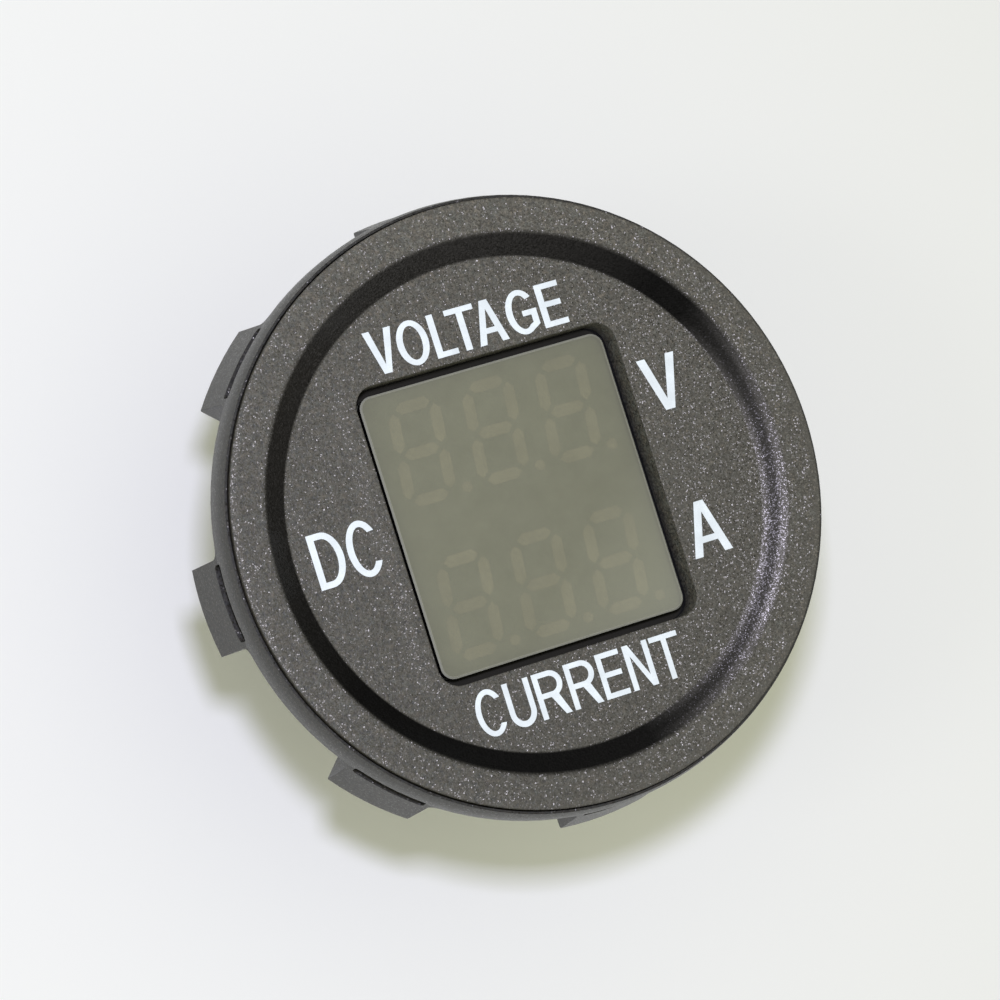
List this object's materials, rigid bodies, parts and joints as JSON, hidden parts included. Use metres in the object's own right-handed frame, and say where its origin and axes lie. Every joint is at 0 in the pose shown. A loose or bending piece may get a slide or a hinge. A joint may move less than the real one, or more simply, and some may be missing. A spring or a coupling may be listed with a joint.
{
  "type": "panel voltage and current meter",
  "caption": "Round panel meter for a battery: sunk face with a display window, clip-on trim ring with clip lugs, barrel for a panel hole, inner shunt and rear blade terminals.",
  "frame": {"origin": "on the barrel's axis, in the plane where the gasket seats on the panel", "axes": "+Z out of the face towards the reader, +Y up and +X right on the display"},
  "size_m": [0.0392, 0.0392, 0.0303],
  "materials": {
    "face_plastic": "dark warm grey moulding, spark-textured, with fine metallic flake",
    "ring_plastic": "smooth satin dark grey moulding",
    "casing_plastic": "matt black moulding",
    "gasket_rubber": "matt black foam rubber",
    "seal_rubber": "matt black",
    "smoked_lens": "olive-grey satin film, slightly see-through",
    "display_plastic": "grey moulding",
    "bar_resin": "pale milky resin, unlit",
    "led_chip": "clear, pale yellow",
    "circuit_board": "green solder resist",
    "header_plastic": "black moulding",
    "chip_plastic": "black moulded epoxy",
    "capacitor_can": "bright drawn can",
    "resistor_black": "black glaze",
    "capacitor_tan": "tan ceramic",
    "shunt_alloy": "drawn manganin, brownish",
    "tinned_brass": "tin-plated, satin"
  },
  "bodies": {
    "root": {"face_housing": "face_plastic", "clip_ring": "ring_plastic", "panel_gasket": "gasket_rubber", "barrel_casing": "casing_plastic", "display_lens": "smoked_lens", "display_seal": "seal_rubber", "display_body": "display_plastic", "voltage_figures": "bar_resin", "current_figures": "bar_resin", "display_leds": "led_chip", "display_board": "circuit_board", "header_plugs": "header_plastic", "header_sockets": "header_plastic", "header_pins": "tinned_brass", "meter_board": "circuit_board", "microcontroller": "chip_plastic", "current_amplifier": "chip_plastic", "voltage_regulator": "chip_plastic", "protection_diode": "chip_plastic", "smoothing_capacitor": "capacitor_can", "chip_resistors": "resistor_black", "chip_capacitors": "capacitor_tan", "current_shunt": "shunt_alloy", "supply_terminal": "tinned_brass", "battery_terminal": "tinned_brass", "load_terminal": "tinned_brass", "rear_cap": "casing_plastic"}
  },
  "joints": []
}
